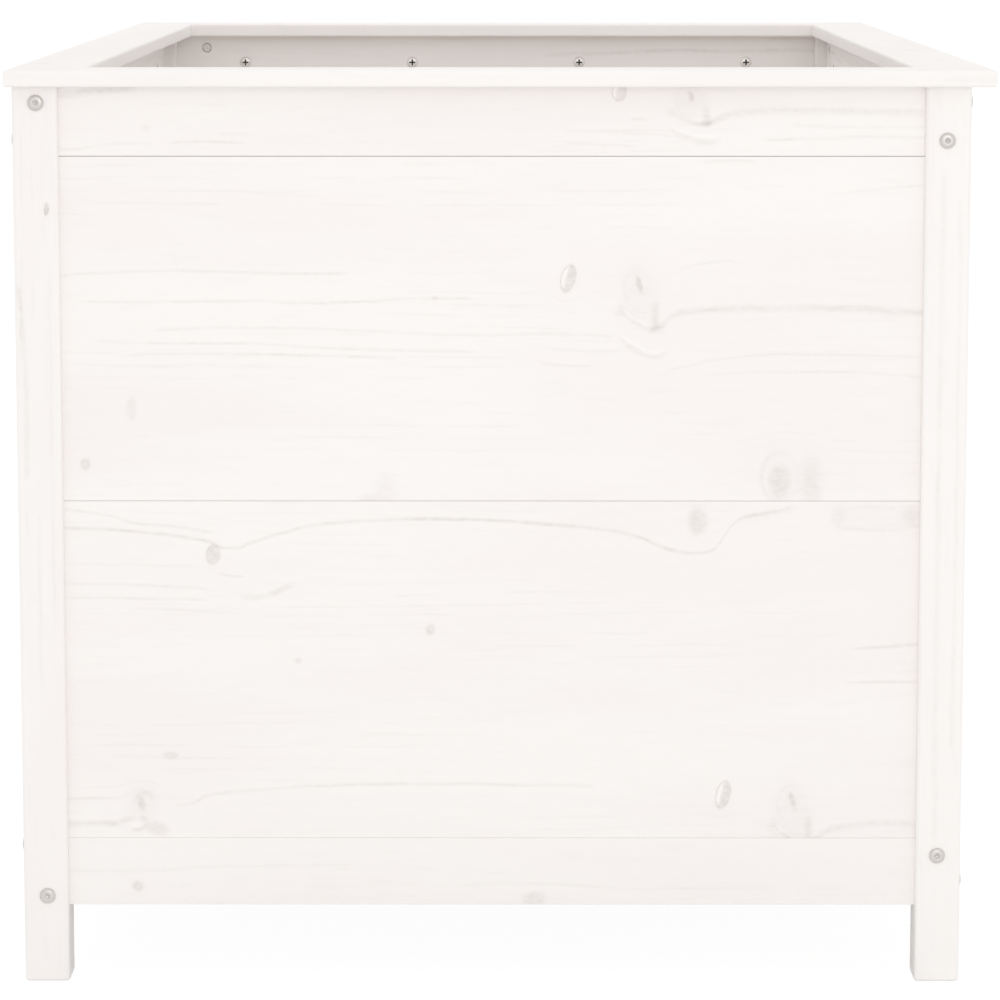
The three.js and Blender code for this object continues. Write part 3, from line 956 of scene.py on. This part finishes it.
def make_bolt(side, place, end):
    """Turned round the bolt's axis. The radius follows the section from the middle of the socket,
    over the head and down the shank; in the socket it goes over to a hexagon's,
    flat / cos(angle from the middle of the nearest flat), and on the thread a helix is added."""
    angle = np.arange(bolt_sides) * 2 * math.pi / bolt_sides
    flat_angle = (angle + math.pi / 6) % (math.pi / 3) - math.pi / 6
    hexagon = socket_half / np.cos(flat_angle)
    dome = np.linspace(0, math.pi / 2, 9)
    dome_radius = head_radius - dome_reach * (1 - np.sin(dome))
    dome_height = -head_height + dome_rise * (1 - np.cos(dome))
    thread = np.arange(0, thread_length, thread_pitch / 4)
    socket_end = socket_depth - head_height
    shank_end = bolt_length - bolt_chamfer
    thread_start = shank_end - thread_length
    # Radius, place along the axis from under the head, and 1 where the outline is a hexagon
    section = [
        (near_axis, socket_end + socket_point, 1),
        (socket_half, socket_end, 1),
        (socket_half, -head_height + socket_chamfer_depth, 1),
        (socket_half + socket_chamfer, -head_height, 1),
        (flat_radius, -head_height, 0),
        *((r, x, 0) for r, x in zip(dome_radius, dome_height)),
        (head_radius, -head_chamfer / 2, 0),
        (head_radius - head_chamfer, 0, 0),
        (bolt_radius, 0, 0),
        (bolt_radius, bolt_length - thread_length - thread_lead, 0),
        *((bolt_radius, thread_start + t, 0) for t in thread),
        (bolt_radius - bolt_chamfer, bolt_length, 0),
        (near_axis, bolt_length, 0),
    ]
    radius, x, six = (column[:, None] for column in np.array(section).T)
    share = np.minimum(1, radius / socket_half)
    hexagonal = share * hexagon + np.maximum(0, radius - socket_half)
    rings = np.where(six > 0, hexagonal, radius + 0 * angle)
    on_thread = (x > thread_start) & (x < shank_end)
    helix = (x / thread_pitch + angle / (2 * math.pi)) % 1.0
    rings = rings - np.where(on_thread, thread_depth * (1 - np.abs(2 * helix - 1)), 0)
    z = axis_height(f"{side}_{place}_bolt_{end}")
    s = x - clearance + 0 * angle
    if end == "right":
        s = SPANS[side] - s
    points = np.stack([s, bolt_depth + rings * np.cos(angle), z + rings * np.sin(angle)], -1)
    bolt = skin(f"{side}_{place}_bolt_{end}_plated", stand(side, points))
    smooth(bolt)
    return bolt


def make_nut(side, place, end):
    """A short bar turned round the axis that runs inwards, with chamfered ends. The slot for a
    driver is cut across the end that shows, and the bore for the bolt through its middle."""
    angle = np.arange(nut_sides) * 2 * math.pi / nut_sides
    outer = wall_inner - nut_sink
    end_radius = nut_radius - nut_chamfer
    section = np.array([(near_axis, 0), (end_radius, 0), (nut_radius, nut_chamfer),
                        (nut_radius, nut_length - nut_chamfer), (end_radius, nut_length),
                        (near_axis, nut_length)])
    radius, depth = (column[:, None] for column in section.T)
    z = axis_height(f"{side}_{place}_bolt_{end}")
    s = nut_place if end == "left" else SPANS[side] - nut_place
    points = np.stack([s + radius * np.cos(angle), outer - depth + 0 * angle,
                       z + radius * np.sin(angle)], -1)
    nut = skin(f"{side}_{place}_nut_{end}_plated", stand(side, points))
    reach = nut_radius + past
    slot = stand(side, np.array([(s - reach, outer - slot_depth, z - slot_width / 2),
                                 (s + reach, outer + past, z + slot_width / 2)]))
    bore = stand(side, np.array([(s - reach, bolt_depth, z), (s + reach, bolt_depth, z)]))
    cut(nut, [block(slot.min(0), slot.max(0)), rod(*bore, bolt_radius - thread_depth)])
    smooth(nut)
    return nut


zinc = zinc_steel("zinc_plated_steel", ZINC)
# The screws inside the box get the lighter copy: painted light against the shade there
screw_zinc_painted_light = zinc_steel("zinc_steel_painted_light", SCREW_ZINC_PAINTED_LIGHT)
for side in WALLS:
    for place in ("top", "bottom"):
        for end in ("left", "right"):
            node = f"{side}_{place}_bolt_{end}"
            show(make_bolt(side, place, end), "zinc_steel", node, material=zinc)
            show(make_nut(side, place, end), "zinc_steel", node, material=zinc)


# ---------------------------------------------------------------- Screws in the top rails
# Steel wafer-head screws with a cross recess, driven into the top rails from inside the box in an
# even row: four in a short wall and five in a long one.

screw_radius = 0.0062
screw_head = 0.0016
screw_shank = 0.0021
screw_length = 0.013
screw_height = 0.736
cross_long = 0.0034
cross_half_width = 0.00085
cross_depth = 0.0014
cross_floor = 0.0001  # between these heights over the wood a face belongs to the cross
cross_lip = 0.00004
screw_sides = 64
short_pitch, long_pitch = 0.1895, 0.220
SCREW_ROWS = {
    "front": (4, short_pitch), "right": (5, long_pitch),
    "rear": (4, short_pitch), "left": (5, long_pitch),
}
# Colours of the painted shade in the screws' cross recesses, near-black with a faint mottle
RECESS_DARK = (0.030, 0.028, 0.025)
RECESS_SHADE_PALE = (0.075, 0.070, 0.062)
recess_waves = 900.0
recess_gloss = (0.5, 0.75)


def make_screw(side, s):
    """Turned round the axis that runs outwards through the rail. In the recess the radius is that
    of a cross: the greater of two bars' edges, min(long / |cos|, half width / |sin|) and the same
    with cos and sin changed over."""
    angle = (np.arange(screw_sides) + 0.5) * 2 * math.pi / screw_sides
    cos, sin = np.abs(np.cos(angle)), np.abs(np.sin(angle))
    bars = [np.minimum(cross_long / a, cross_half_width / b) for a, b in ((cos, sin), (sin, cos))]
    cross = np.maximum(*bars)
    under_head = screw_head + 0.75 * screw_length
    # Radius, depth from the top of the head, and 1 in the cross
    section = np.array([
        # In the cross, the radius is a share of the cross's own
        (0.02, cross_depth, 1), (0.6, 0.8 * cross_depth, 1), (1.0, 0.0001, 1), (1.06, 0, 1),
        # The low head, from its flat middle to its edge on the wood
        (screw_radius - 0.0022, 0.00005, 0), (screw_radius - 0.0012, 0.0003, 0),
        (screw_radius - 0.0004, 0.0008, 0), (screw_radius, 0.0013, 0),
        (screw_radius - 0.0001, screw_head, 0),
        # The shank and its point, in the wood
        (screw_shank, screw_head, 0), (screw_shank, under_head, 0),
        (near_axis, screw_head + screw_length, 0)])
    radius, depth, crossed = (column[:, None] for column in section.T)
    rings = np.where(crossed > 0, radius * cross, radius + 0 * angle)
    points = np.stack([s + rings * np.cos(angle), wall_inner + screw_head - depth + 0 * angle,
                       screw_height + rings * np.sin(angle)], -1)
    return stand(side, points)


def recess_painted_shade():
    """Near-black steel, faintly mottled: painted shade for the bottom of the cross recess."""
    dull = Finish("recess_painted_shade")
    shade_mottle = dull.noise(dull.node("ShaderNodeTexCoord", out=3), (recess_waves,) * 3, 2.0, 0.6)
    dull.link(dull.mix(shade_mottle, RECESS_DARK, RECESS_SHADE_PALE), "Base Color")
    dull.link(dull.ramp(shade_mottle, 0.2, 0.8, *recess_gloss), "Roughness")
    return dull.material


def darken_recess(screw, side, s):
    """Paints each face of the cross near-black, a painted shade for the deep recess: its middle
    lies nearer to the axis than the arms reach, and between the wall and the top of the head."""
    mesh = screw.data
    mesh.materials.append(painted_shade_steel)
    middles = np.empty(3 * len(mesh.polygons))
    mesh.polygons.foreach_get("center", middles)
    start, along, inwards = (np.array(v, float) for v in WALLS[side])
    middles = middles.reshape(-1, 3) - start
    away = np.hypot(middles @ along - s, middles[:, 2] - screw_height)
    above = middles @ inwards - wall_inner
    inside = (away < cross_long) & (above > cross_floor) & (above < screw_head - cross_lip)
    mesh.polygons.foreach_set("material_index", inside.astype(int))


# The crosses in the screw heads are painted near-black: painted shade for the deep recess
painted_shade_steel = recess_painted_shade()
for side, (count, pitch) in SCREW_ROWS.items():
    places = SPANS[side] / 2 + (np.arange(count) - (count - 1) / 2) * pitch
    for number, s in enumerate(places, 1):
        screw = skin(f"{side}_rail_screw_{number}", make_screw(side, s))
        smooth(screw)
        show(screw, "zinc_steel", material=screw_zinc_painted_light)
        darken_recess(screw, side, s)


# ---------------------------------------------------------------- Floor
# Two square pine bearers are screwed along the long walls' bottom rails, and seven boards lie on
# them across the box, with gaps to let water out. The end boards are notched round the posts, and
# all of them have the same white paint.

floor_arris = 0.0008
bearer_arris = 0.0010
notch_past = 0.01
floor_knot_inset = 0.05
floor_knot_margin = 0.02
bearer_strength = 1.4
floor_strength = 1.5
first_bearer_offset, bearer_offset = 41.0, 5.1
first_floor_offset, floor_offset = 50.0, 2.3


def make_bar(name, low, high, axis, reach):
    """A rectangle with eased corners carried along X or Y between two corners of its box, drawn
    in a little at both ends."""
    low, high = np.array(low), np.array(high)
    side_axis = 1 - axis
    rings = []
    for s, inset in ((low[axis], reach / 2), (low[axis] + reach / 2, 0),
                     (high[axis] - reach / 2, 0), (high[axis], reach / 2)):
        a, b = low + inset, high - inset
        flat = [(a[side_axis], a[2]), (b[side_axis], a[2]),
                (b[side_axis], b[2]), (a[side_axis], b[2])]
        section = ease(flat, reach - inset)
        ring = np.empty((len(section), 3))
        ring[:, axis], ring[:, side_axis], ring[:, 2] = s, section[:, 0], section[:, 1]
        rings.append(ring)
    return skin(name, np.stack(rings))


for number, side in enumerate(("left", "right")):
    node = f"floor_bearer_{side}"
    bearer = make_bar(node + "_sawn", *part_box(node), 1, bearer_arris)
    offset = first_bearer_offset + bearer_offset * number
    wood = painted_pine(f"painted_bearer_{side}", "YZX", offset, strength=bearer_strength)
    show(bearer, "floor_pine", node, material=wood)

floor_names = sorted(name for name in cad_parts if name.startswith("floor_board_"))
for number, node in enumerate(floor_names):
    low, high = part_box(node)
    board = make_bar(node + "_sawn", low, high, 0, floor_arris)
    if node in (floor_names[0], floor_names[-1]):
        notch = post_size - wall_inner
        wall_end = low.y if node == floor_names[0] else high.y
        inner = wall_end + math.copysign(notch, -wall_end)
        bottom, top = sorted((wall_end + math.copysign(notch_past, wall_end), inner))
        below, above = low.z - notch_past, high.z + notch_past
        cutters = [block((x - notch, bottom, below), (x + notch, top, above))
                   for x in (low.x, high.x)]
        cut(board, cutters)
    knots = scattered_knots(rng, (low.x + floor_knot_inset, low.y + floor_knot_margin),
                            (high.x - floor_knot_inset, high.y - floor_knot_margin), 3)
    offset = first_floor_offset + floor_offset * number
    wood = painted_pine(f"painted_{node}", "XYZ", offset, knots, strength=floor_strength)
    show(board, "floor_pine", node, material=wood)


# ---------------------------------------------------------------- Ground, light and camera
# A plain white studio sweep and soft light from all round, with a little more from the front. The
# camera stands before the short side, a little above the rim, and looks slightly down.

ground_reach = 60.0
ground_white = (0.90, 0.90, 0.90)
ground_glow = 1.04
shadow_share = 0.08
world_level = 0.97
lamp_place = (0.6, -5.0, 1.5)
lamp_aim = (0, 0, 0.45)
lamp_size = 1.8
lamp_watts = 17.5


def studio_ground():
    """White to the camera and to reflections, except for a small share that takes shadows."""
    ground = Finish("studio_ground")
    ground.shader.inputs["Base Color"].default_value = (*ground_white, 1)
    ground.shader.inputs["Roughness"].default_value = 0.9
    ground.shader.inputs["Specular IOR Level"].default_value = 0.1
    seen = ground.node("ShaderNodeLightPath")
    glossy = seen.node.outputs["Is Glossy Ray"]
    shown = ground.math("MAXIMUM", ground.math("MAXIMUM", seen, glossy),
                        seen.node.outputs["Is Transmission Ray"])
    white = ground.node("ShaderNodeEmission", (1, 1, 1, 1), ground_glow)
    share = ground.math("MULTIPLY", shown, 1 - shadow_share)
    mixed = ground.node("ShaderNodeMixShader", share, ground.shader.outputs[0], white)
    ground.tree.links.new(mixed, ground.tree.nodes["Material Output"].inputs["Surface"])
    return ground.material


def studio_world(level):
    """The surroundings: white to the camera and in reflections, `level` as a light."""
    world = bpy.data.worlds.new("studio")
    world.use_nodes = True
    tree = world.node_tree
    tree.nodes.clear()
    path = tree.nodes.new("ShaderNodeLightPath")
    background = tree.nodes.new("ShaderNodeBackground")
    output = tree.nodes.new("ShaderNodeOutputWorld")
    level_node = tree.nodes.new("ShaderNodeMapRange")
    level_node.inputs["To Min"].default_value = level
    level_node.inputs["To Max"].default_value = 1.0
    seen = tree.nodes.new("ShaderNodeMath")
    seen.operation = "MAXIMUM"
    tree.links.new(path.outputs["Is Camera Ray"], seen.inputs[0])
    tree.links.new(path.outputs["Is Glossy Ray"], seen.inputs[1])
    tree.links.new(seen.outputs[0], level_node.inputs["Value"])
    tree.links.new(level_node.outputs[0], background.inputs["Strength"])
    tree.links.new(background.outputs[0], output.inputs["Surface"])
    background.inputs["Color"].default_value = (1, 1, 1, 1)
    bpy.context.scene.world = world


def panel_light(name, place, aim, size, watts):
    """A square soft light that faces a point."""
    lamp = bpy.data.lights.new(name, "AREA")
    lamp.shape = "SQUARE"
    lamp.size = size
    lamp.energy = watts
    light = bpy.data.objects.new(name, lamp)
    light.location = place
    light.rotation_euler = (Vector(aim) - Vector(place)).to_track_quat("-Z", "Y").to_euler()
    bpy.context.scene.collection.objects.link(light)


ground = bpy.data.objects.new("ground", bpy.data.meshes.new("ground"))
corners = np.array([(-1, -1, 0), (1, -1, 0), (1, 1, 0), (-1, 1, 0)]) * ground_reach
ground.data.from_pydata(corners.tolist(), [], [(0, 1, 2, 3)])
bpy.context.scene.collection.objects.link(ground)
ground.data.materials.append(studio_ground())
ground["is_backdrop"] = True

studio_world(world_level)
panel_light("front_light", lamp_place, lamp_aim, lamp_size, lamp_watts)

camera_place = (0.0056, -3.7067, 0.9228)
camera_down = 7.202
camera_left = 0.104
camera_lens = 134.85
camera_sensor = 36
camera_shift = -0.13
camera_sight = 200
camera = bpy.data.objects.new("camera", bpy.data.cameras.new("camera"))
camera.location = camera_place
camera.rotation_euler = (math.radians(90 - camera_down), 0, math.radians(camera_left))
camera.data.lens = camera_lens
camera.data.sensor_width = camera_sensor
camera.data.shift_y = camera_shift
camera.data.clip_end = camera_sight
bpy.context.scene.collection.objects.link(camera)
bpy.context.scene.camera = camera
bpy.context.scene.view_settings.view_transform = "Standard"

low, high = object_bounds()
